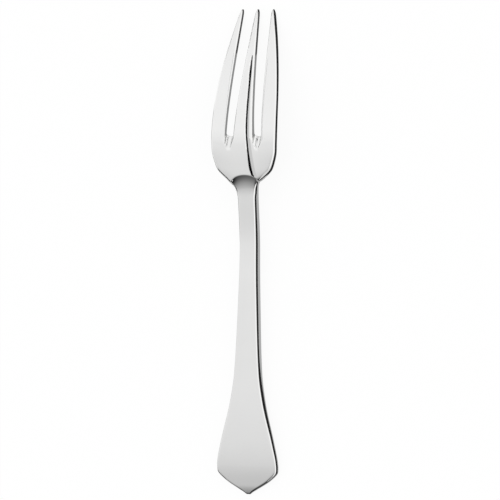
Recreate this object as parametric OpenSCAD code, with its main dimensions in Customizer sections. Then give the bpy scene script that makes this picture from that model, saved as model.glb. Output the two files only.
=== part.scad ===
// Three-pronged table fork, lying prongs down with its back upwards.
// The length runs along Y with the points at +Y, X runs across, and the table is at z = 0.
// The points of the prongs and the point of the handle touch the table.
// Along the fork, "d" is the distance from the points of the prongs.

/* [Lengths] */
// Length of the prongs, from their points to the floor of the slots
tine_l = 53; // [45:0.5:65]
// Length of the bowl, from the floor of the slots to the arch
bowl_l = 15.4; // [12:0.1:22]
// Length of the neck, from the arch to the stem
neck_l = 10.1; // [9:0.1:18]
// Length of the narrow stem
stem_l = 72; // [50:1:95]
// Length of the spreading handle, up to its widest place
handle_l = 37.5; // [28:0.5:55]
// Length of the pointed end, from the widest place of the handle
end_l = 12; // [9:0.5:20]

/* [Head] */
// Width of the head at the floor of the slots
head_w = 29; // [26:0.5:34]
// Width of the bowl just above the arch
arch_w = 23.2; // [21:0.1:25]
// Width across the foot of the arch
heel_w = 15.4; // [13:0.1:18]
// Distance between the points of neighbouring prongs
tip_pitch = 7; // [6.4:0.1:8.4]
// Width of a prong just behind its point
tip_w = 1.2; // [1:0.1:2.2]
// Length over which a prong is rounded to its point
tip_round = 2.2; // [0.8:0.1:3.5]
// Distance between the middles of the two slots at their floors
slot_pitch = 12.7; // [11.8:0.1:13.6]
// Width of a slot near its floor
slot_w = 3.7; // [3.2:0.1:4.6]
// Width of the flat floor of a slot, between its rounded corners
slot_floor_w = 1.4; // [0.8:0.1:2.4]

/* [Handle] */
// Width of the throat, halfway along the neck
throat_w = 9.6; // [8.6:0.1:12]
// Width where the neck runs into the stem
neck_w = 7.8; // [6.5:0.1:9]
// Width of the stem at its narrowest place
stem_w = 7.6; // [5.5:0.1:9]
// Width where the stem runs into the handle
grip_w = 11.4; // [9:0.1:14]
// Width of the handle at its widest place
handle_w = 26.9; // [22:0.1:32]
// Width of the blunt point of the handle
point_w = 3; // [1.6:0.1:4]

/* [Heights] */
// Height of the back of the bowl at its top
bowl_z = 14.6; // [12:0.1:18]
// Height of the back of the bowl at the arch
arch_z = 13.3; // [11:0.1:14]
// Height of the step down from the bowl to the neck
step_h = 2.2; // [1:0.1:3]
// Length of the step, from its edge to its foot
step_l = 8.5; // [5:0.1:9.5]
// Rise of the arch from its feet to its top
arch_rise = 2.8; // [1.5:0.1:4]
// Distance from the middle of the arch to each of its feet
arch_reach = 6.3; // [5.5:0.1:8]
// Height of the back where the neck runs into the stem
neck_z = 9.6; // [8.6:0.1:11]
// Height of the back of the stem at its middle
stem_z = 6.9; // [6:0.1:8]
// Height of the back of the handle at its widest place
handle_z = 4.7; // [4:0.1:6]

/* [Thicknesses] */
// Thickness of a prong just behind its point
tip_t = 1.7; // [1:0.1:2]
// Thickness of the head at the floor of the slots
head_t = 2.3; // [1.6:0.1:2.6]
// Thickness of the stem
stem_t = 5; // [3.5:0.1:5.4]
// Thickness of the handle at its widest place
handle_t = 3.1; // [2.2:0.1:3.4]
// Thickness at the point of the handle
point_t = 2.3; // [1.6:0.1:2.6]
// Height by which the middle of the bowl stands above its sides, just above the arch
bowl_crown = 0.7; // [0.2:0.1:1.2]
// Height by which the middle of the neck stands above its sides, at the foot of the arch
heel_crown = 1.8; // [0.8:0.1:2.2]
// Height by which the back of the stem and handle stands above their sides
stem_crown = 0.15; // [0.1:0.05:0.4]
// Height by which the front of the stem and handle stands below their sides
front_crown = 0.2; // [0.1:0.1:0.4]
// Radius of the rounded edges
edge_r = 0.6; // [0.4:0.1:0.9]

/* [Hidden] */

// Distances of the cuts between the pieces
slot_d = tine_l;
arch_d = slot_d + bowl_l;
neck_d = arch_d + neck_l;
stem_d = neck_d + stem_l;
wide_d = stem_d + handle_l;
end_d = wide_d + end_l;

// Cuts per piece and points per cut: the prongs, the bowl, the neck, the shank and the pointed end
tine_cuts = 22;
bowl_cuts = 9;
neck_cuts = 26;
shank_cuts = 14;
end_cuts = 16;
tine_points = 4;
wide_points = 14;
shank_points = 8;
corner_points = 3;

// Small gap between the arch and the cut above it
arch_margin = 1.4;
// How far round the arch goes towards a half circle
arch_sweep = 0.97;
// How strongly the step is bent at its edge
step_power = 3;
slot_corner = (slot_w - slot_floor_w) / 2;
// Distance at which the sides of the bowl turn into the throat
heel_d = arch_d + arch_rise * 0.64;

// Smooth curve through knots [place, value], with no overshoot between them
function rate(k, i) = (k[i + 1][1] - k[i][1]) / (k[i + 1][0] - k[i][0]);
function gap(k, i) = k[i + 1][0] - k[i][0];
function mean_rate(k, i) =
    rate(k, i - 1) * rate(k, i) <= 0 ? 0 :
    3 * (gap(k, i - 1) + gap(k, i)) /
    ((2 * gap(k, i) + gap(k, i - 1)) / rate(k, i - 1) + (gap(k, i) + 2 * gap(k, i - 1)) / rate(k, i));
function slope(k, i) =
    i == 0 ? rate(k, 0) :
    i == len(k) - 1 ? rate(k, i - 1) :
    mean_rate(k, i);
function span(k, d, i = 0) = i >= len(k) - 2 || d <= k[i + 1][0] ? i : span(k, d, i + 1);
function hermite(a, b, sa, sb, u) =
    a * (1 + 2 * u) * pow(1 - u, 2) + b * (3 - 2 * u) * u * u +
    sa * u * pow(1 - u, 2) - sb * u * u * (1 - u);
function piece_of_curve(k, i, d) =
    hermite(k[i][1], k[i + 1][1], slope(k, i) * gap(k, i), slope(k, i + 1) * gap(k, i),
            (d - k[i][0]) / gap(k, i));
function curve(k, d) = piece_of_curve(k, span(k, d), d);
function clamp(u) = max(0, min(1, u));

// The factors in the knots are shares of the lengths, widths and heights above.
// Half the width of the fork below the floor of the slots
half_width_knots = [
    [slot_d, head_w / 2],
    [slot_d + bowl_l * 0.38, head_w * 0.493],
    [slot_d + bowl_l * 0.7, head_w * 0.44 + arch_w * 0.015],
    [arch_d - arch_margin, arch_w / 2],
    [heel_d, heel_w / 2],
    [(heel_d + neck_d) / 2, throat_w / 2],
    [neck_d, neck_w / 2],
    [neck_d + stem_l * 0.28, stem_w / 2],
    [neck_d + stem_l * 0.72, (stem_w * 0.56 + grip_w * 0.44) / 2],
    [stem_d, grip_w / 2],
    [stem_d + handle_l * 0.3, grip_w * 0.32 + handle_w * 0.14],
    [stem_d + handle_l * 0.8, handle_w * 0.443],
    [wide_d, handle_w / 2],
    [wide_d + end_l * 0.2, handle_w * 0.485],
    [wide_d + end_l * 0.5, handle_w * 0.355],
    [wide_d + end_l * 0.8, handle_w * 0.1 + point_w * 0.5],
    [end_d - point_w * 0.35, point_w * 0.75],
    [end_d, point_w * 0.3],
];
// Outer side of the outer prongs, an arc that ends square to the slots
function prong_outer(d) =
    let (tip = tip_pitch + tip_w / 2)
    tip + (head_w / 2 - tip) * (1 - pow(1 - d / slot_d, 2));
function half_width(d) = d < slot_d ? prong_outer(d) : curve(half_width_knots, d);

// Height of the back, taken without the step down to the neck
back_knots = [
    [0, tip_t],
    [tine_l * 0.17, bowl_z * 0.33],
    [tine_l * 0.4, bowl_z * 0.583],
    [tine_l * 0.64, bowl_z * 0.807],
    [tine_l * 0.86, bowl_z * 0.959],
    [slot_d, bowl_z],
    [arch_d, arch_z],
    [neck_d, neck_z + step_h],
    [neck_d + stem_l * 0.28, stem_z * 1.03 + step_h],
    [neck_d + stem_l * 0.5, stem_z + step_h],
    [stem_d, stem_z * 0.92 + step_h],
    [stem_d + handle_l * 0.75, stem_z * 0.4 + handle_z * 0.63 + step_h],
    [wide_d, handle_z + step_h],
    [end_d, point_t + step_h],
];
thickness_knots = [
    [0, tip_t],
    [tine_l * 0.25, tip_t * 0.3 + head_t * 0.7],
    [slot_d, head_t],
    [arch_d - arch_margin, head_t * 1.1],
    [neck_d, stem_t * 0.96],
    [neck_d + stem_l * 0.5, stem_t],
    [stem_d, stem_t * 0.9],
    [wide_d, handle_t],
    [end_d, point_t],
];
back_crown_knots = [
    [0, 0],
    [tine_l * 0.5, bowl_crown * 0.4],
    [slot_d, bowl_crown * 0.5],
    [arch_d - arch_margin, bowl_crown],
    [heel_d, heel_crown],
    [neck_d, stem_crown],
    [end_d, stem_crown],
];
front_dish_knots = [
    [0, 0],
    [tine_l * 0.5, bowl_crown * 0.4],
    [slot_d, bowl_crown * 0.5],
    [arch_d, bowl_crown],
    [neck_d, -front_crown],
    [end_d, -front_crown],
];

// The step starts at the edge of the arch and eases out at its foot
function arc_drop(u) = 1 - sqrt(1 - pow(arch_sweep * clamp(u), 2));
function arch_at(x) = arch_d + arch_rise * arc_drop(abs(x) / arch_reach) / arc_drop(1);
function step_fall(u) = 1 - pow(1 - clamp(u), step_power);
function ease(u) = let (v = clamp(u)) v * v * (3 - 2 * v);
function across(x, d) = pow(x / half_width(d), 2);
function back_height(x, d) =
    curve(back_knots, d) - step_h * step_fall((d - arch_at(x)) / step_l) -
    curve(back_crown_knots, d) * across(x, d);
function front_height(x, d) =
    curve(back_knots, d) - step_h * ease((d - arch_d) / neck_l) - curve(thickness_knots, d) -
    curve(front_dish_knots, d) * across(x, d);
function wall(x, d) = back_height(x, d) - front_height(x, d);

// One rounded cut across the fork at d, from side to side, with its front kept at its height
function corner(x, z, r, from, to) =
    [for (i = [1 : corner_points])
        let (a = from + (to - from) * i / (corner_points + 1)) [x + r * cos(a), z + r * sin(a)]];
function cut_outline(d, left, right, points, back_drop) =
    let (
        thick = wall((left + right) / 2, d),
        thin = min(wall(left, d), wall(right, d)),
        r = min(edge_r, (thin - thick * back_drop) * 0.45, (right - left) * 0.3),
        low = left + r,
        high = right - r,
        back = function (x) back_height(x, d) - thick * back_drop,
        front = function (x) front_height(x, d)
    )
    concat(
        [for (i = [0 : points]) let (x = high + (low - high) * i / points) [x, back(x)]],
        corner(low, back(low) - r, r, 90, 180),
        corner(low, front(low) + r, r, 180, 270),
        [for (i = [0 : points]) let (x = low + (high - low) * i / points) [x, front(x)]],
        corner(high, front(high) + r, r, 270, 360),
        corner(high, back(high) - r, r, 0, 90)
    );
function cut(d, left, right, points, back_drop = 0) =
    [for (p = cut_outline(d, left, right, points, back_drop)) [p[0], end_d / 2 - d, p[1]]];

// Solid through a row of cuts, which all have the same number of points
module loft(cuts) {
    n = len(cuts[0]);
    rows = len(cuts);
    polyhedron(
        points = [for (c = cuts) each c],
        faces = concat(
            [[for (i = [0 : n - 1]) n - 1 - i]],
            [for (row = [0 : rows - 2], i = [0 : n - 1])
                let (a = row * n + i, b = row * n + (i + 1) % n) each [[a, b, a + n], [b, b + n, a + n]]],
            [[for (i = [0 : n - 1]) (rows - 1) * n + i]]
        )
    );
}

// A prong is rounded to its point, and widens to the rounded corners of its slots
function rounding(d) = sqrt(1 - pow(1 - min(1, (d + tip_round * 0.08) / (tip_round * 1.08)), 2));
function slot_fill(d) =
    let (u = max(0, slot_corner - (slot_d - d)))
    slot_corner - sqrt(max(0, slot_corner * slot_corner - u * u));
function slot_inner(d) = tip_w / 2 + ((slot_pitch - slot_w - tip_w) / 2) * d / slot_d + slot_fill(d);
function slot_outer(d) =
    let (tip = tip_pitch - tip_w / 2)
    tip + ((slot_pitch + slot_w) / 2 - tip) * d / slot_d - slot_fill(d);
// Cuts crowd together at the point and at the floor of the slots
function tine_place(i) = slot_d * (1 - cos(180 * i / tine_cuts)) / 2;
function tine_cut(d, left, right) =
    let (middle = (left + right) / 2, half = (right - left) / 2 * rounding(d))
    cut(d, middle - half, middle + half, tine_points, (1 - rounding(d)) * 0.6);

module prong(left, right) {
    loft([for (i = [0 : tine_cuts]) let (d = tine_place(i)) tine_cut(d, left(d), right(d))]);
}

module shank(from, to, cuts, points) {
    loft([for (i = [0 : cuts])
        let (d = from + (to - from) * i / cuts) cut(d, -half_width(d), half_width(d), points)]);
}

module left_tine() {
    color("gainsboro") prong(function (d) -half_width(d), function (d) -slot_outer(d));
}

module middle_tine() {
    color("gainsboro") prong(function (d) -slot_inner(d), function (d) slot_inner(d));
}

module right_tine() {
    color("gainsboro") prong(function (d) slot_outer(d), function (d) half_width(d));
}

module bowl() {
    color("gainsboro") shank(slot_d, arch_d - arch_margin, bowl_cuts, wide_points);
}

module neck() {
    color("silver") shank(arch_d - arch_margin, neck_d, neck_cuts, wide_points);
}

module stem() {
    color("silver") shank(neck_d, stem_d, shank_cuts, shank_points);
}

module handle() {
    color("silver") shank(stem_d, wide_d, shank_cuts, shank_points);
}

module handle_end() {
    color("silver") shank(wide_d, end_d, end_cuts, shank_points);
}

left_tine();
middle_tine();
right_tine();
bowl();
neck();
stem();
handle();
handle_end();
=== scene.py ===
import math

import bmesh
import bpy
from mathutils import Matrix, Vector


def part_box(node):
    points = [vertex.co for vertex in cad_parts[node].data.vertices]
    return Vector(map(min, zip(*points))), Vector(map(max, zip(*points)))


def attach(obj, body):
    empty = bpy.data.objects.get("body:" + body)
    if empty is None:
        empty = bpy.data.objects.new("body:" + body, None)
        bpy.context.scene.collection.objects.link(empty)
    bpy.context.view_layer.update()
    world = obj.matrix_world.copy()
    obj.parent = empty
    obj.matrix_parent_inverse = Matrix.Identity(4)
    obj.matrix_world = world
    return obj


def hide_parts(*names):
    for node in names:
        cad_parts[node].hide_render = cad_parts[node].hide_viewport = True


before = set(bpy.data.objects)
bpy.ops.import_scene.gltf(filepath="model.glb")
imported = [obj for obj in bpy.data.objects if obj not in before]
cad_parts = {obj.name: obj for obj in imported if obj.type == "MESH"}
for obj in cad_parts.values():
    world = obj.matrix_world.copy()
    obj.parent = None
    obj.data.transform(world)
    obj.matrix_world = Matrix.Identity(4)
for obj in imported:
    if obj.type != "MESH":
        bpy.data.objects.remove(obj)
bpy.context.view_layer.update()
scene = bpy.context.scene
scene.view_settings.view_transform = "Standard"

# The fork is shaped in millimetres and scaled to metres at the end.
MM = 0.001

# Places along the fork, as distances from the points of the prongs, come from the boxes of the parts in
# model.glb.
tip_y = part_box("middle_tine")[1].y


def distance(y):
    return (tip_y - y) / MM


# Where the slots, the bowl, the neck and the stem end, where the handle is widest, and the end
slot_d = distance(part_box("bowl")[1].y)
bowl_end_d = distance(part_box("neck")[1].y)
neck_d = distance(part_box("stem")[1].y)
stem_d = distance(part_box("handle")[1].y)
wide_d = distance(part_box("handle_end")[1].y)
end_d = distance(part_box("handle_end")[0].y)
bowl_l = bowl_end_d - slot_d
stem_l = stem_d - neck_d
handle_l = wide_d - stem_d
end_l = end_d - wide_d

# Widths across the fork
HEAD_W = 29.0
ARCH_W = 23.2
HEEL_W = 15.4
THROAT_W = 9.6
NECK_W = 7.8
STEM_W = 7.6
GRIP_W = 11.4
HANDLE_W = 26.9
POINT_W = 2.6

# Points of the prongs: how far apart and how wide they are, and over which length they are rounded.
# They run past those of the solids by TIP_OVERRUN, their rounding would close at TIP_CLOSE, and the
# back falls there by a share of the thickness.
TIP_PITCH = 7.0
TIP_W = 1.2
TIP_ROUND = 2.4
TIP_OVERRUN = 0.3
TIP_CLOSE = 0.45
TIP_FALL = 0.6

# Slots at their floors: how far apart and how wide they are, and the flat between the round corners.
# The floors slope: on the back they run on towards the handle, on the front they stop short by a
# share of that, and the slope dies out over a share of the bowl.
SLOT_PITCH = 12.7
SLOT_W = 3.7
SLOT_FLOOR_W = 1.4
ROOT_L = 4.4
ROOT_FRONT = 0.26
ROOT_FADE = 0.8

# Heights of the back above the table
BOWL_Z = 14.6
ARCH_Z = 13.3
NECK_Z = 9.6
STEM_Z = 6.9
HANDLE_Z = 4.45
POINT_Z = 2.3

# Thicknesses. The points of the prongs lie on the table, so theirs is their height too.
TIP_T = 1.9
HEAD_T = 2.6
STEM_T = 5.0
HANDLE_T = 3.1
END_T = 1.6

# The step from the bowl down to the neck: its height, its length and how quickly it falls.
# Its upper edge is an arch, a little to the right of the middle and below the bowl's end. The outline
# has narrowed to the heel's width at a share of the arch's rise.
STEP_H = 2.2
STEP_L = 9.5
STEP_POWER = 3
ARCH_RISE = 2.8
ARCH_HALF = 6.3
ARCH_SWEEP = 0.97
ARCH_SHIFT = 0.7
ARCH_MARGIN = 1.4
HEEL_SHARE = 0.64
arch_d = bowl_end_d + ARCH_MARGIN
heel_d = arch_d + ARCH_RISE * HEEL_SHARE

# The handle keeps nearly all its thickness down to here, on the flanks of its pointed end.
FLANK_SHARE = 0.35
flank_d = wide_d + end_l * FLANK_SHARE

# How far the sides lie below the middle
BOWL_CROWN = 0.7
HEEL_CROWN = 0.6
FRONT_CROWN = 0.2

# The last stretch of the handle falls away.
END_DROP = 0.5
END_DROP_L = 3.5

# Rounded edges of the shank and of the head: how far in from the rim they start, at most a share of
# the width, and how far the rim lies below the face
EDGE_HOLD = 0.6
EDGE_DROP = 0.25
TINE_HOLD = 0.75
TINE_DROP = 0.3
SHANK_HOLD_SHARE = 0.4
TINE_HOLD_SHARE = 0.5

# The outer walls of the prongs lean in towards the points: how far, over which length, and at most
# which share of their rounded edge
TINE_LEAN = 0.32
LEAN_L = 35.0
LEAN_SHARE = 0.5


def smooth_curve(knots):
    """A curve through knots (place, value) that doesn't overshoot between them."""
    places = [k[0] for k in knots]
    values = [k[1] for k in knots]
    gaps = [b - a for a, b in zip(places, places[1:])]
    rates = [(b - a) / g for a, b, g in zip(values, values[1:], gaps)]
    slopes = [rates[0]]
    for i in range(1, len(rates)):
        before, after = rates[i - 1], rates[i]
        if before * after <= 0:
            slopes.append(0.0)
            continue
        weight_before = 2 * gaps[i] + gaps[i - 1]
        weight_after = gaps[i] + 2 * gaps[i - 1]
        slopes.append((weight_before + weight_after) / (weight_before / before + weight_after / after))
    slopes.append(rates[-1])

    def at(place):
        i = 0
        while i < len(gaps) - 1 and place > places[i + 1]:
            i += 1
        u = (place - places[i]) / gaps[i]
        return (
            values[i] * (1 + 2 * u) * (1 - u) ** 2
            + values[i + 1] * (3 - 2 * u) * u ** 2
            + gaps[i] * (slopes[i] * u * (1 - u) ** 2 - slopes[i + 1] * u ** 2 * (1 - u))
        )

    return at


BACK_EASE = 3.0
EASE_STEPS = 3


def softened(curve, reach):
    """The same curve with its bends eased over a short reach, away from its ends."""
    steps = range(-EASE_STEPS, EASE_STEPS + 1)

    def at(place):
        near = max(0.0, min(reach, place, end_d - place))
        return sum(curve(place + near * step / EASE_STEPS) for step in steps) / len(steps)

    return at


# The shape along the fork: each knot is a distance from the points and half a width, a height of the
# back as it would be without the step, or a thickness.
lower_half_width = smooth_curve([
    (slot_d, HEAD_W / 2),
    (slot_d + bowl_l * 0.41, HEAD_W * 0.493),
    (slot_d + bowl_l * 0.75, HEAD_W * 0.44 + ARCH_W * 0.015),
    (bowl_end_d, ARCH_W / 2),
    (heel_d, HEEL_W / 2),
    ((heel_d + neck_d) / 2, THROAT_W / 2),
    (neck_d, NECK_W / 2),
    (neck_d + stem_l * 0.28, STEM_W / 2),
    (neck_d + stem_l * 0.72, (STEM_W * 0.56 + GRIP_W * 0.44) / 2),
    (stem_d, GRIP_W / 2),
    (stem_d + handle_l * 0.3, GRIP_W * 0.32 + HANDLE_W * 0.14),
    (stem_d + handle_l * 0.8, HANDLE_W * 0.449),
    (wide_d, HANDLE_W / 2),
    (wide_d + end_l * 0.2, HANDLE_W * 0.497),
    (wide_d + end_l * 0.5, HANDLE_W * 0.378),
    (wide_d + end_l * 0.8, HANDLE_W * 0.12 + POINT_W * 0.5),
    (end_d - POINT_W * 0.35, POINT_W * 0.75),
    (end_d, POINT_W * 0.3),
])
back_without_step = softened(smooth_curve([
    (0, TIP_T),
    (slot_d * 0.17, BOWL_Z * 0.33),
    (slot_d * 0.4, BOWL_Z * 0.583),
    (slot_d * 0.64, BOWL_Z * 0.807),
    (slot_d * 0.86, BOWL_Z * 0.959),
    (slot_d, BOWL_Z),
    (arch_d, ARCH_Z),
    (neck_d, NECK_Z + STEP_H),
    (neck_d + stem_l * 0.28, STEM_Z * 1.03 + STEP_H),
    (neck_d + stem_l * 0.5, STEM_Z + STEP_H),
    (stem_d, STEM_Z * 0.92 + STEP_H),
    (stem_d + handle_l * 0.75, STEM_Z * 0.4 + HANDLE_Z * 0.56 + STEP_H),
    (wide_d, HANDLE_Z + STEP_H),
    (end_d, POINT_Z + STEP_H),
]), BACK_EASE)
thickness = smooth_curve([
    (0, TIP_T),
    (slot_d * 0.25, TIP_T * 0.3 + HEAD_T * 0.7),
    (slot_d, HEAD_T),
    (bowl_end_d, HEAD_T * 1.1),
    (neck_d, STEM_T * 0.96),
    (neck_d + stem_l * 0.5, STEM_T),
    (stem_d, STEM_T * 0.9),
    (wide_d, HANDLE_T),
    (flank_d, HANDLE_T * 0.97),
    (end_d, END_T),
])
# How far the sides of the back lie below its middle, and the same for the front
crown = smooth_curve([
    (0, 0.0),
    (slot_d * 0.5, BOWL_CROWN * 0.4),
    (slot_d, BOWL_CROWN * 0.5),
    (bowl_end_d, BOWL_CROWN),
    (heel_d, HEEL_CROWN),
    (neck_d, HEEL_CROWN * 0.15),
    (neck_d + stem_l * 0.3, 0.0),
    (end_d, 0.0),
])
dish = smooth_curve([
    (0, 0.0),
    (slot_d * 0.5, BOWL_CROWN * 0.4),
    (slot_d, BOWL_CROWN * 0.5),
    (arch_d, BOWL_CROWN),
    (neck_d, -FRONT_CROWN),
    (end_d, -FRONT_CROWN),
])


def clamp(u):
    return max(0.0, min(1.0, u))


def neck_share(d):
    """From 0 at the bowl's end to 1 at the start of the stem."""
    return clamp((d - bowl_end_d) / (neck_d - bowl_end_d))


def half_width(d):
    if d >= slot_d:
        return lower_half_width(d)
    tip = TIP_PITCH + TIP_W / 2
    return tip + (HEAD_W / 2 - tip) * (1 - (1 - d / slot_d) ** 2)


def arch_shape(u):
    """Drop of the arch from its middle (0) to its feet (1): round, and steep at the feet."""
    return (1 - math.sqrt(1 - (ARCH_SWEEP * clamp(u)) ** 2)) / (1 - math.sqrt(1 - ARCH_SWEEP ** 2))


def step_fall(x, d):
    """Share of the step down to the neck: sharp at the arch, easing out at its foot."""
    edge = arch_d + ARCH_RISE * arch_shape(abs(x - ARCH_SHIFT) / ARCH_HALF)
    return 1 - (1 - clamp((d - edge) / STEP_L)) ** STEP_POWER


def back_height(x, d):
    fall = STEP_H * step_fall(x, d) + END_DROP * clamp(1 - (end_d - d) / END_DROP_L) ** 2
    return back_without_step(d) - fall - crown(d) * (x / half_width(d)) ** 2


def front_height(x, d):
    fall = clamp((d - arch_d) / (neck_d - arch_d))
    eased = fall * fall * (3 - 2 * fall)
    return back_without_step(d) - STEP_H * eased - thickness(d) - dish(d) * (x / half_width(d)) ** 2


def tip_rounding(d):
    """Share of a prong's width that its rounded point leaves."""
    return math.sqrt(1 - (1 - clamp((d + TIP_CLOSE) / TIP_ROUND)) ** 2)


def slot_sides(d):
    """Inner and outer side of a slot, drawn together at the rounded corners of its floor."""
    corner = (SLOT_W - SLOT_FLOOR_W) / 2
    u = max(0.0, corner - (slot_d - d))
    fill = corner - math.sqrt(max(0.0, corner ** 2 - u ** 2))
    inner = TIP_W / 2 + (SLOT_PITCH - SLOT_W - TIP_W) / 2 * d / slot_d + fill
    tip = TIP_PITCH - TIP_W / 2
    outer = tip + ((SLOT_PITCH + SLOT_W) / 2 - tip) * d / slot_d - fill
    return inner, outer


# The fork starts as a sheet. Its columns on one side of the middle: the middle prong up to the first
# slot column, the slot up to the second, and the outer prong up to the last
SLOT_COLUMNS = (4, 6)
LAST_COLUMN = 11
# Columns inside the prongs, in half widths of the prong from its middle or from its inner side
MIDDLE_SPLITS = (0.0, 0.33, 0.66)
OUTER_SPLITS = (0.7, 1.4)
# Columns that follow the sloping floors of the slots, and the share of the slope that they take
ROOT_SHARES = {3: 0.5, 4: 1.0, 5: 1.0, 6: 1.0, 7: 0.5}
# The slant of the outline is measured from this far before a row to this far after it.
SLANT_STEP = 0.5


def prong_columns(d):
    """Places of the columns across the right half of the prongs, from the middle outwards."""
    inner, outer = slot_sides(d)
    edge = half_width(d)
    round_off = tip_rounding(d)
    middle = (outer + edge) / 2
    half = (edge - outer) / 2 * round_off
    near, far = middle - half, middle + half
    width = inner * round_off
    hold = min(TINE_HOLD, half * TINE_HOLD_SHARE, width * TINE_HOLD_SHARE)
    middle_prong = [width * split for split in MIDDLE_SPLITS] + [width - hold, width]
    outer_prong = [near, near + hold] + [near + half * split for split in OUTER_SPLITS] + [far - hold, far]
    return middle_prong + [(width + near) / 2] + outer_prong


def shank_columns(d):
    """Places of the same columns across the right half of the bowl, the stem or the handle."""
    at_slots = prong_columns(slot_d)
    edge = half_width(d)
    before, after = d - SLANT_STEP, min(d + SLANT_STEP, end_d)
    slant = (half_width(after) - half_width(before)) / (after - before)
    wanted = TINE_HOLD + (EDGE_HOLD - TINE_HOLD) * neck_share(d)
    hold = min(wanted * math.sqrt(1 + slant ** 2), edge * SHANK_HOLD_SHARE)
    inside = [x / at_slots[LAST_COLUMN - 1] * (edge - hold) for x in at_slots[:LAST_COLUMN]]
    return inside + [edge]


def spread(start, stop, count):
    """Even places from the start on, without the stop."""
    return [start + (stop - start) * i / count for i in range(count)]


# Rows of the sheet that lie close together, where the fork bends most: from the points on, before the
# floors of the slots, after them, around the arch, from the stem's start on and before the end
TIP_ROWS = [-TIP_OVERRUN, 0.2, 0.9, 2.0, 3.4, 5.2]
ROOT_ROWS = [3.2, 2.0, 1.2, 0.6, 0.2]
FLOOR_ROWS = [0.0, 1.6]
NECK_ROWS = [-ARCH_MARGIN, -0.45, 0.0, 0.35, 0.9, 1.7, 2.7, 3.9, 5.2, 6.6, 8.0, 9.3]
STEM_ROWS = [0.0, 1.2]
END_ROWS = [1.0, 0.3, 0.0]
# Even rows between them: where they start, from the points, the floors of the slots or the stem's
# start, and how many they are. Those of the handle and of its end start where those pieces do.
TINE_EVEN = (7.2, 18)
BOWL_EVEN = (3.2, 7)
STEM_EVEN = (3.0, 17)
HANDLE_EVEN = 14
END_EVEN = 12
# The even rows of the bowl stop this far ahead of its end.
BOWL_GAP = 0.5
tine_rows = TIP_ROWS + spread(TINE_EVEN[0], slot_d - ROOT_ROWS[0], TINE_EVEN[1])
tine_rows += [slot_d - ahead for ahead in ROOT_ROWS]
bowl_rows = [slot_d + after for after in FLOOR_ROWS]
bowl_rows += spread(slot_d + BOWL_EVEN[0], bowl_end_d - BOWL_GAP, BOWL_EVEN[1])
stem_rows = [neck_d + after for after in STEM_ROWS]
stem_rows += spread(neck_d + STEM_EVEN[0], stem_d, STEM_EVEN[1])
handle_rows = spread(stem_d, wide_d, HANDLE_EVEN)
end_rows = spread(wide_d, end_d - END_ROWS[0], END_EVEN)
end_rows += [end_d - ahead for ahead in END_ROWS]


def arch_bend(offset):
    """How far the ends of a row in the neck lie below its middle, following the arch."""
    if offset < 0:
        return ARCH_RISE * (1 + offset / ARCH_MARGIN)
    return ARCH_RISE * (1 - offset / (neck_d - arch_d))


# Each row: its distance at the middle, and how much further it lies at the feet of the arch
rows = [(d, 0.0) for d in tine_rows + bowl_rows]
rows += [(arch_d + offset, arch_bend(offset)) for offset in NECK_ROWS]
rows += [(d, 0.0) for d in stem_rows + handle_rows + end_rows]
slot_row = len(tine_rows)


def sheet_point(row, column):
    """Place across the fork and distance from the points, for one corner of the sheet."""
    d, bend = rows[row]
    side = math.copysign(1, column - LAST_COLUMN)
    index = abs(column - LAST_COLUMN)
    if row < slot_row:
        return side * prong_columns(d)[index], d
    x = side * shank_columns(d + bend)[index]
    return x, d + bend * arch_shape(abs(x - ARCH_SHIFT) / ARCH_HALF)


def on_rim(row, column):
    index = abs(column - LAST_COLUMN)
    return index == LAST_COLUMN or row == len(rows) - 1 or (row <= slot_row and index in SLOT_COLUMNS)


def edge_drop(row):
    """How far a rim lies below its face: the start of its rounded edge."""
    return TINE_DROP + (EDGE_DROP - TINE_DROP) * neck_share(rows[row][0])


def outer_lean(row, column):
    """How far the outer walls of the prongs lean inwards, towards their points."""
    d = rows[row][0]
    if abs(column - LAST_COLUMN) < LAST_COLUMN or d > LEAN_L:
        return 0.0
    places = prong_columns(d)
    lean = min(TINE_LEAN * (1 - d / LEAN_L), (places[-1] - places[-2]) * LEAN_SHARE)
    return math.copysign(lean, LAST_COLUMN - column)


def root_slope(row, column):
    """How much further a slot runs on the back than in the solids, where its floor slopes."""
    share = ROOT_SHARES.get(abs(column - LAST_COLUMN), 0.0)
    before = 1 + (rows[row][0] - slot_d) / ROOT_L
    after = 1 - (rows[row][0] - slot_d) / (bowl_l * ROOT_FADE)
    return ROOT_L * share * clamp(min(before, after))


# Pieces of the fork: name, the node that each stands for
PIECES = [
    ("prong_left", "left_tine"),
    ("prong_middle", "middle_tine"),
    ("prong_right", "right_tine"),
    ("arched_bowl", "bowl"),
    ("heeled_neck", "neck"),
    ("slim_stem", "stem"),
    ("spread_handle", "handle"),
    ("pointed_end", "handle_end"),
]
MIDDLE_PRONG = 1
BOWL = 3


def piece_at(corners):
    """Index in PIECES of the region that a face of the sheet belongs to, from its rows and columns."""
    row = min(corner[0] for corner in corners)
    if row < slot_row:
        column = sum(corner[1] for corner in corners) / len(corners) - LAST_COLUMN
        return MIDDLE_PRONG + (column > SLOT_COLUMNS[1]) - (column < -SLOT_COLUMNS[1])
    middle = (rows[row][0] + rows[row + 1][0]) / 2
    return BOWL + sum(middle > cut for cut in (bowl_end_d, neck_d, stem_d, wide_d))


WALL_CUTS = 2


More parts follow.
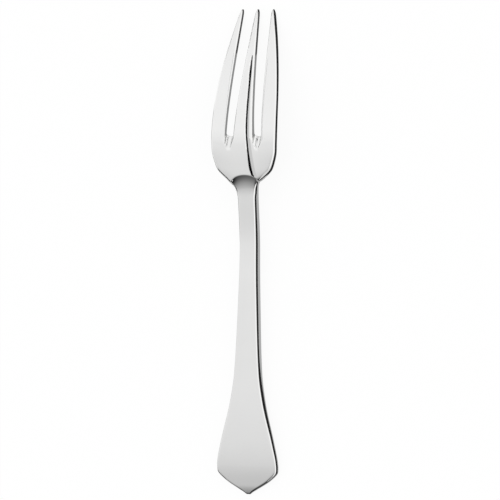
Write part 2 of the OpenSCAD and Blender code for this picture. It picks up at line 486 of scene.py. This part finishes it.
def fork_cage():
    """The whole fork as a coarse solid: a sheet with two slots, given a back and walls.

    Each face carries the index of its piece as its material index.
    """
    bm = bmesh.new()
    across, along = 2 * LAST_COLUMN, len(rows) - 1
    bmesh.ops.create_grid(bm, x_segments=across, y_segments=along, size=1)
    place = {}
    for v in bm.verts:
        column = round((v.co.x + 1) / 2 * across)
        row = round((1 - v.co.y) / 2 * along)
        place[v] = (row, column)
    slots = []
    for f in bm.faces:
        f.material_index = piece_at([place[v] for v in f.verts])
        row = max(place[v][0] for v in f.verts)
        steps = [abs(place[v][1] - LAST_COLUMN) for v in f.verts]
        if row <= slot_row and min(steps) >= SLOT_COLUMNS[0] and max(steps) <= SLOT_COLUMNS[1]:
            slots.append(f)
    bmesh.ops.delete(bm, geom=slots, context="FACES")
    place = {v: place[v] for v in bm.verts}
    for v in bm.verts:
        x, d = sheet_point(*place[v])
        d -= root_slope(*place[v]) * ROOT_FRONT
        v.co = Vector((x, tip_y / MM - d, front_height(x, d)))
    # The copy that the extrusion makes stays as the front, and the sheet itself becomes the back.
    bmesh.ops.extrude_face_region(bm, geom=bm.faces[:])
    for v, (row, column) in place.items():
        x, d = sheet_point(row, column)
        d += root_slope(row, column)
        lowered = (1 - tip_rounding(d)) * TIP_FALL * thickness(d)
        lowered += edge_drop(row) if on_rim(row, column) else 0.0
        z = back_height(x, d) - lowered
        v.co = Vector((x + outer_lean(row, column), tip_y / MM - d, z))
    walls = [e for e in bm.edges if (e.verts[0] in place) != (e.verts[1] in place)]
    bmesh.ops.subdivide_edges(bm, edges=walls, cuts=WALL_CUTS)
    bmesh.ops.recalc_face_normals(bm, faces=bm.faces[:])
    bmesh.ops.scale(bm, vec=(MM, MM, MM), verts=bm.verts[:])
    return bm


SHADING = "shading_of_whole"
SMOOTH_LEVELS = 2


def polished_fork():
    """The cage smoothed to its final surface, which keeps its shading in a layer of its own."""
    bm = fork_cage()
    for f in bm.faces:
        f.smooth = True
    mesh = bpy.data.meshes.new("fork_cage")
    bm.to_mesh(mesh)
    bm.free()
    cage = bpy.data.objects.new("fork_cage", mesh)
    scene.collection.objects.link(cage)
    smoothing = cage.modifiers.new("smoothing", "SUBSURF")
    smoothing.levels = smoothing.render_levels = SMOOTH_LEVELS
    whole = bmesh.new()
    whole.from_object(cage, bpy.context.evaluated_depsgraph_get())
    bpy.data.objects.remove(cage)
    bpy.data.meshes.remove(mesh)
    shading = whole.verts.layers.float_vector.new(SHADING)
    whole.normal_update()
    for v in whole.verts:
        v[shading] = v.normal
    return whole


def cut_piece(whole, index, name):
    """One region of the fork as a closed piece of its own."""
    bm = whole.copy()
    others = [f for f in bm.faces if f.material_index != index]
    bmesh.ops.delete(bm, geom=others, context="FACES")
    rims = [e for e in bm.edges if e.is_boundary]
    for e in rims:
        e.smooth = False
    caps = bmesh.ops.edgeloop_fill(bm, edges=rims, mat_nr=index, use_smooth=False)["faces"]
    # A cap that runs round the same way as the wall beside it faces inwards.
    for cap in caps:
        loop = cap.loops[0]
        if loop.vert == loop.link_loop_radial_next.vert:
            cap.normal_flip()
    bmesh.ops.poke(bm, faces=caps)
    for f in bm.faces:
        f.material_index = 0
    mesh = bpy.data.meshes.new(name)
    bm.to_mesh(mesh)
    bm.free()
    # The shading of the whole fork is kept, so that no seam shows where the pieces meet.
    normals = [Vector() for loop in mesh.loops]
    for face in mesh.polygons:
        for loop in face.loop_indices if face.use_smooth else ():
            normals[loop] = mesh.attributes[SHADING].data[mesh.loops[loop].vertex_index].vector
    mesh.normals_split_custom_set(normals)
    mesh.attributes.remove(mesh.attributes[SHADING])
    piece = bpy.data.objects.new(name, mesh)
    scene.collection.objects.link(piece)
    return piece


def grey(level):
    return (level, level, level, 1)


class Wire:
    """An output of a node tree. Arithmetic on wires adds Math nodes to the tree."""

    def __init__(self, tree, socket=None):
        self.tree = tree
        self.socket = socket

    def node(self, kind, settings=None, inputs=None, output=0):
        made = self.tree.nodes.new(kind)
        for name, value in (settings or {}).items():
            if name == "stops":
                self.set_stops(made.color_ramp, value)
            else:
                setattr(made, name, value)
        for name, value in (inputs or {}).items():
            if isinstance(value, Wire):
                self.tree.links.new(value.socket, made.inputs[name])
            else:
                made.inputs[name].default_value = value
        return Wire(self.tree, made.outputs[output] if made.outputs else None)

    @staticmethod
    def set_stops(ramp, stops):
        while len(ramp.elements) < len(stops):
            ramp.elements.new(1.0)
        for element, (place, level) in zip(ramp.elements, stops):
            element.position = place
            element.color = grey(level)

    def maths(self, operation, first, second):
        return self.node("ShaderNodeMath", {"operation": operation}, {0: first, 1: second})

    def __add__(self, other):
        return self.maths("ADD", self, other)

    __radd__ = __add__

    def __mul__(self, other):
        return self.maths("MULTIPLY", self, other)

    __rmul__ = __mul__

    def __sub__(self, other):
        return self.maths("SUBTRACT", self, other)

    def __rsub__(self, other):
        return self.maths("SUBTRACT", other, self)


def new_material(name):
    material = bpy.data.materials.new(name)
    material.use_nodes = True
    material.node_tree.nodes.clear()
    return material, Wire(material.node_tree)


# Silver plate: tones of its faint clouds, how fine its patterns are, its roughness at the least and
# what clouds and rubbing add to it, and how strong and deep its hairlines are
SILVER_DULL = (0.895, 0.895, 0.89, 1)
SILVER_BRIGHT = (0.945, 0.945, 0.94, 1)
CLOUD_SCALE = 60.0
RUBBED_SCALE = 420.0
HAIRLINE_SCALE = (5200.0, 160.0, 5200.0)
ROUGH_LEAST = 0.02
ROUGH_CLOUDS = 0.02
ROUGH_RUBBED = 0.03
RELIEF_STRENGTH = 0.03
RELIEF_DEPTH = 0.02 * MM
RELIEF_RUBBED = 0.5


def polished_silver():
    """Mirror-polished silver plate: hairlines along the fork, faint clouding, uneven gloss."""
    material, tree = new_material("polished_silver")

    def noise(vector, scale, detail):
        return tree.node("ShaderNodeTexNoise", inputs={"Vector": vector, "Scale": scale, "Detail": detail})

    place = tree.node("ShaderNodeTexCoord", output="Object")
    clouds = noise(place, CLOUD_SCALE, 3.0)
    rubbed = noise(place, RUBBED_SCALE, 4.0)
    along = tree.node("ShaderNodeMapping", inputs={"Vector": place, "Scale": HAIRLINE_SCALE})
    hairlines = noise(along, 1.0, 2.0)
    tone = tree.node(
        "ShaderNodeMix",
        {"data_type": "RGBA"},
        {"Factor": clouds, 6: SILVER_DULL, 7: SILVER_BRIGHT},
        output=2,
    )
    roughness = ROUGH_LEAST + clouds * ROUGH_CLOUDS + rubbed * ROUGH_RUBBED
    relief = tree.node(
        "ShaderNodeBump",
        inputs={
            "Strength": RELIEF_STRENGTH,
            "Distance": RELIEF_DEPTH,
            "Height": hairlines + rubbed * RELIEF_RUBBED,
        },
    )
    surface = tree.node(
        "ShaderNodeBsdfPrincipled",
        inputs={"Base Color": tone, "Metallic": 1.0, "Roughness": roughness, "Normal": relief},
    )
    tree.node("ShaderNodeOutputMaterial", inputs={"Surface": surface})
    return material


def glowing(name, level):
    """A studio surface of one even brightness."""
    material, tree = new_material(name)
    light = tree.node("ShaderNodeEmission", inputs={"Color": grey(level)})
    tree.node("ShaderNodeOutputMaterial", inputs={"Surface": light})
    return material


TABLE_WHITE = 0.98
TABLE_GLOW = 0.9


def white_table():
    """White to the camera and in the metal, and it keeps a faint shadow of the fork."""
    material, tree = new_material("white_table")
    path = "ShaderNodeLightPath"
    seen = tree.node(path, output="Is Camera Ray") + tree.node(path, output="Is Glossy Ray")
    seen = seen + tree.node(path, output="Is Transmission Ray")
    matt = tree.node("ShaderNodeBsdfDiffuse", inputs={"Color": grey(TABLE_WHITE)})
    white = tree.node("ShaderNodeEmission", inputs={"Color": grey(1)})
    mixed = tree.node("ShaderNodeMixShader", inputs={"Fac": seen * TABLE_GLOW, 1: matt, 2: white})
    tree.node("ShaderNodeOutputMaterial", inputs={"Surface": mixed})
    return material


# The camera looks down on the back of the fork from the right. It and the studio are in metres,
# apart from what follows the fork.
CAMERA_TILT = math.radians(24)
CAMERA_ROLL = math.radians(1.08)
CAMERA_DISTANCE = 2.0
CAMERA_CLIP = 20.0
VIEW_WIDTH = 205.95 * MM
AIM = Vector((1.09, 0.82, 7.0)) * MM
CAMERA_BACK = Vector((math.sin(CAMERA_TILT), 0, math.cos(CAMERA_TILT)))
CAMERA_PLACE = AIM + CAMERA_BACK * CAMERA_DISTANCE


def stage_object(name, bm, material, only_reflected=True):
    """A thing of the studio. Cards and panels show only in the metal."""
    mesh = bpy.data.meshes.new(name)
    bm.to_mesh(mesh)
    bm.free()
    mesh.materials.append(material)
    thing = bpy.data.objects.new(name, mesh)
    scene.collection.objects.link(thing)
    if only_reflected:
        thing.visible_camera = False
        thing.visible_diffuse = False
        thing.visible_shadow = False


# A curved panel over the fork: its radius, where it ends on the left and right, and the angles from
# straight up at which it starts and stops
SWEEP_RADIUS = 2.5
SWEEP_LEFT = -3.2
SWEEP_RIGHT = 0.35
SWEEP_FROM = math.radians(-94)
SWEEP_TO = math.radians(94)
SWEEP_STEPS = 60
# Brightness of the sweep from the points' side of the table (0) to the handle's side (1). The left
# stops hold as far as SWEEP_FADE, and blend from there into the right ones at the fork.
SWEEP_FADE = -2.2
LEFT_STOPS = [
    (0.0, 0.9), (0.4, 0.92), (0.5, 0.86), (0.523, 0.82), (0.56, 0.815), (0.6, 0.775), (0.64, 0.745),
    (0.7, 0.67), (0.74, 0.633), (0.77, 0.57), (0.877, 0.45), (0.943, 0.3), (1.0, 0.12),
]
RIGHT_STOPS = [
    (0.0, 0.9), (0.4, 0.92), (0.5, 0.86), (0.523, 0.82), (0.56, 0.8), (0.6, 0.755), (0.64, 0.69),
    (0.7, 0.57), (0.74, 0.487), (0.77, 0.39), (0.877, 0.16), (0.943, 0.03), (1.0, 0.0),
]


def graded_sweep():
    """A curved panel over the fork that darkens towards the handle's side of the table."""
    bm = bmesh.new()
    y, z = -math.sin(SWEEP_FROM) * SWEEP_RADIUS, math.cos(SWEEP_FROM) * SWEEP_RADIUS
    ends = [bm.verts.new((x, y, z)) for x in (SWEEP_LEFT, SWEEP_RIGHT)]
    edge = bm.edges.new(ends)
    turn = SWEEP_TO - SWEEP_FROM
    bmesh.ops.spin(bm, geom=ends + [edge], cent=(0, 0, 0), axis=(1, 0, 0), angle=turn, steps=SWEEP_STEPS)
    for f in bm.faces:
        f.smooth = True
    material, tree = new_material("graded_sweep")
    place = tree.node("ShaderNodeTexCoord", output="Object")
    along = tree.node("ShaderNodeSeparateXYZ", inputs={"Vector": place}, output="Y")
    across = tree.node("ShaderNodeSeparateXYZ", inputs={"Vector": place}, output="X")
    share = 0.5 - along * (0.5 / SWEEP_RADIUS)
    left = tree.node("ShaderNodeValToRGB", {"stops": LEFT_STOPS}, {"Fac": share})
    right = tree.node("ShaderNodeValToRGB", {"stops": RIGHT_STOPS}, {"Fac": share})
    fade = {"Value": across, "From Min": SWEEP_FADE, "From Max": 0.0}
    side = tree.node("ShaderNodeMapRange", inputs=fade)
    level = tree.node("ShaderNodeMix", {"data_type": "RGBA"}, {"Factor": side, 6: left, 7: right}, output=2)
    light = tree.node("ShaderNodeEmission", inputs={"Color": level})
    tree.node("ShaderNodeOutputMaterial", inputs={"Surface": light})
    stage_object("graded_sweep", bm, material)


# The dark line that the back of the head reflects: its place across and its width, along the fork
LINE_FROM = 19.0
LINE_PAST_ARCH = 0.5
line_to = arch_d + LINE_PAST_ARCH
line_place = smooth_curve([(LINE_FROM, 0.9), (33, 1.3), (47.5, 1.65), (60, 2.7), (66, 3.5), (line_to, 4.5)])
line_width = smooth_curve([(LINE_FROM, 0.4), (26, 1.1), (31, 0.8), (58, 0.8), (66, 1.2), (line_to, 0.9)])
# Strips of card over the head that make the line and what lies beside it: name, left and right edge,
# brightness, end. An edge is a side of the line, -1 or 1, and how far beyond that side it lies.
STRIPS = [
    ("dark_strip", (-1, 0.0), (1, 0.0), 0.0, line_to),
    ("light_strip", (-1, -0.45), (-1, 0.0), 1.03, 58.0),
    ("grey_strip", (1, 0.0), (1, 1.3), 0.62, line_to),
]
STRIP_HEIGHT = 0.025
STRIP_STEPS = 60
# The slope of the back is measured from this far before a spot to this far after it.
SLOPE_STEP = 0.1


def mirrored(x, d, height):
    """The point at some height over the table that the camera sees mirrored in the fork's back."""
    reach = 2 * SLOPE_STEP
    rise_x = (back_height(x + SLOPE_STEP, d) - back_height(x - SLOPE_STEP, d)) / reach
    rise_y = (back_height(x, d - SLOPE_STEP) - back_height(x, d + SLOPE_STEP)) / reach
    normal = Vector((-rise_x, -rise_y, 1)).normalized()
    spot = Vector((x, tip_y / MM - d, back_height(x, d))) * MM
    sight = (spot - CAMERA_PLACE).reflect(normal)
    return spot + sight * ((height - spot.z) / sight.z)


def strip_card(name, left, right, level, stop):
    """A thin card low over the head: its reflection is the line down the back or a strip beside it."""
    bm = bmesh.new()
    bmesh.ops.create_grid(bm, x_segments=1, y_segments=STRIP_STEPS, size=0.5)
    for v in bm.verts:
        d = LINE_FROM + (stop - LINE_FROM) * (v.co.y + 0.5)
        side, beyond = left if v.co.x < 0 else right
        v.co = mirrored(line_place(d) + side * line_width(d) / 2 + beyond, d, STRIP_HEIGHT)
    stage_object(name, bm, glowing(name, level))


# Cards on the table: how far up they lie and how far to the right they reach, in millimetres, and how
# dark they are. What a side wall reflects lies WALL_SIGHT times its height away from it on the table.
CARD_Z = 0.4
CARD_REACH = 140.0
CARD_STEPS = 100
DARK = 0.02
DIM = 0.12
WALL_SIGHT = math.tan(CAMERA_TILT)
# Share of the wall's height, from its foot, that reflects the shade under the fork: on the stem and
# on the handle. It changes over a share of the handle's length on either side of where they meet.
SHADE_STEM = 0.5
SHADE_HANDLE = 0.2
BLEND_SHARE = 0.3
shade_blend = handle_l * BLEND_SHARE
wall_shade = smooth_curve([
    (0, SHADE_STEM),
    (stem_d - shade_blend, SHADE_STEM),
    (stem_d + shade_blend, SHADE_HANDLE),
    (end_d, SHADE_HANDLE),
])
# Beside the prongs the shade ends sooner, at a share of what the foot of their walls reflects.
SHADE_PRONGS = 0.8


def left_edge(d):
    return -half_width(d)


def shade_edge(d):
    """Where the shade under the fork gives way to the dark card, seen in the fork's right wall."""
    foot = front_height(half_width(d), d)
    middle = foot + thickness(d) * wall_shade(d)
    low = foot * SHADE_PRONGS
    share = clamp((d - slot_d) / (neck_d - slot_d))
    return half_width(d) + WALL_SIGHT * (low + (middle - low) * share)


def right_reach(d):
    return CARD_REACH


# Cards on the table that follow the outline: name, left and right edge, brightness, start, end
TIP_SHADE_END = 18.0
OUTLINE_CARDS = [
    ("tip_shade", left_edge, shade_edge, 0.08, 0.0, TIP_SHADE_END),
    ("prong_shade", left_edge, shade_edge, 0.28, TIP_SHADE_END, bowl_end_d),
    ("stem_shade", left_edge, shade_edge, 0.45, bowl_end_d, end_d),
    ("dark_side", shade_edge, right_reach, DARK, 0.0, flank_d),
    ("grey_side", shade_edge, right_reach, DIM, flank_d, end_d),
]


def outline_card(name, near, far, level, start, stop):
    """A card on the table whose sides follow two lines along the fork."""
    bm = bmesh.new()
    bmesh.ops.create_grid(bm, x_segments=1, y_segments=CARD_STEPS, size=0.5)
    for v in bm.verts:
        d = start + (0.5 - v.co.y) * (stop - start)
        x = near(d) if v.co.x < 0 else far(d)
        v.co = Vector((x, tip_y / MM - d, CARD_Z)) * MM
    stage_object(name, bm, glowing(name, level))


# Plain cards on the table, beyond the handle, beyond the points and at the left shoulder: name, two
# corners, brightness
tail_y = tip_y - end_d * MM
reach_x = CARD_REACH * MM
TABLE_CARDS = [
    ("dark_foot", (-0.7, -0.8), (0.0, tail_y), DARK),
    ("grey_foot", (0.0, -0.8), (reach_x, tail_y), DIM),
    ("dark_top", (-reach_x, tip_y), (reach_x, 0.25), DARK),
    ("dark_shoulder", (-0.06, 0.004), (-0.013, 0.03), DARK),
]


def table_card(name, low, high, level):
    """A flat card on the table between two corners."""
    bm = bmesh.new()
    bmesh.ops.create_grid(bm, x_segments=1, y_segments=1, size=0.5)
    size = (high[0] - low[0], high[1] - low[1], 1)
    bmesh.ops.scale(bm, vec=size, verts=bm.verts[:])
    centre = ((low[0] + high[0]) / 2, (low[1] + high[1]) / 2, CARD_Z * MM)
    bmesh.ops.translate(bm, vec=centre, verts=bm.verts[:])
    stage_object(name, bm, glowing(name, level))


# Upright cards at the right shoulder, one above the other: name, start, end, lower and upper height,
# brightness
SHOULDER_FROM = (0.0085, 0.0225)
SHOULDER_TO = (0.08, 0.0225)
SHOULDER_CARDS = [
    ("dark_shoulder_right", SHOULDER_FROM, SHOULDER_TO, 0.0, 0.012, DARK),
    ("grey_shoulder_right", SHOULDER_FROM, SHOULDER_TO, 0.012, 0.03, 0.72),
]
# Panels that stand far to the left and darken the rims that face that way: name, place of the middle
# on the table, width, height, brightness
PANELS = [
    ("dark_panel", (-0.82, -0.57, 0.0), 0.4, 0.6, 0.05),
    ("middle_panel", (-0.959, -0.284, 0.0), 0.26, 0.4, 0.35),
    ("grey_panel", (-1.0, 0.08, 0.0), 0.5, 0.4, 0.35),
    ("tip_panel", (-0.766, 0.643, 0.0), 0.2, 0.5, 0.1),
]


def standing_card(name, start, stop, low, high, level):
    """An upright card from one place on the table to another, between two heights."""
    bm = bmesh.new()
    bmesh.ops.create_grid(bm, x_segments=1, y_segments=1, size=0.5)
    for v in bm.verts:
        x, y = start if v.co.x < 0 else stop
        v.co = Vector((x, y, low + (high - low) * (v.co.y + 0.5)))
    stage_object(name, bm, glowing(name, level))


def far_panel(name, place, width, height, level):
    """An upright panel that faces the fork."""
    middle = Vector(place)
    along = Vector((0, 0, 1)).cross(middle).normalized() * (width / 2)
    standing_card(name, (middle - along).xy, (middle + along).xy, 0.0, height, level)


TABLE_RADIUS = 6.0
TABLE_SIDES = 64


def studio():
    """A white room: the table, the sweep, and the cards and panels that shade the metal."""
    bm = bmesh.new()
    bmesh.ops.create_circle(bm, cap_ends=True, segments=TABLE_SIDES, radius=TABLE_RADIUS)
    stage_object("table", bm, white_table(), only_reflected=False)
    graded_sweep()
    for strip in STRIPS:
        strip_card(*strip)
    for outlined in OUTLINE_CARDS:
        outline_card(*outlined)
    for flat in TABLE_CARDS:
        table_card(*flat)
    for panel in PANELS:
        far_panel(*panel)
    for upright in SHOULDER_CARDS:
        standing_card(*upright)
    world = bpy.data.worlds.new("white_room")
    scene.world = world
    world.use_nodes = True
    background = world.node_tree.nodes["Background"]
    background.inputs["Color"].default_value = grey(1)
    background.inputs["Strength"].default_value = 1.0


def photo_camera():
    camera = bpy.data.objects.new("camera", bpy.data.cameras.new("camera"))
    scene.collection.objects.link(camera)
    level_right = Vector((math.cos(CAMERA_TILT), 0, -math.sin(CAMERA_TILT)))
    length = Vector((0, 1, 0))
    right = level_right * math.cos(CAMERA_ROLL) + length * math.sin(CAMERA_ROLL)
    up = length * math.cos(CAMERA_ROLL) - level_right * math.sin(CAMERA_ROLL)
    turned = Matrix((right, up, CAMERA_BACK)).transposed().to_4x4()
    camera.matrix_world = Matrix.Translation(CAMERA_PLACE) @ turned
    camera.data.lens = camera.data.sensor_width * CAMERA_DISTANCE / VIEW_WIDTH
    camera.data.clip_end = CAMERA_CLIP
    scene.camera = camera


photo_camera()
studio()
silver = polished_silver()
fork = polished_fork()
for number, (piece_name, node) in enumerate(PIECES):
    piece = cut_piece(fork, number, piece_name)
    piece.data.materials.append(silver)
    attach(piece, "root")
    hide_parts(node)
fork.free()

bpy.context.view_layer.update()
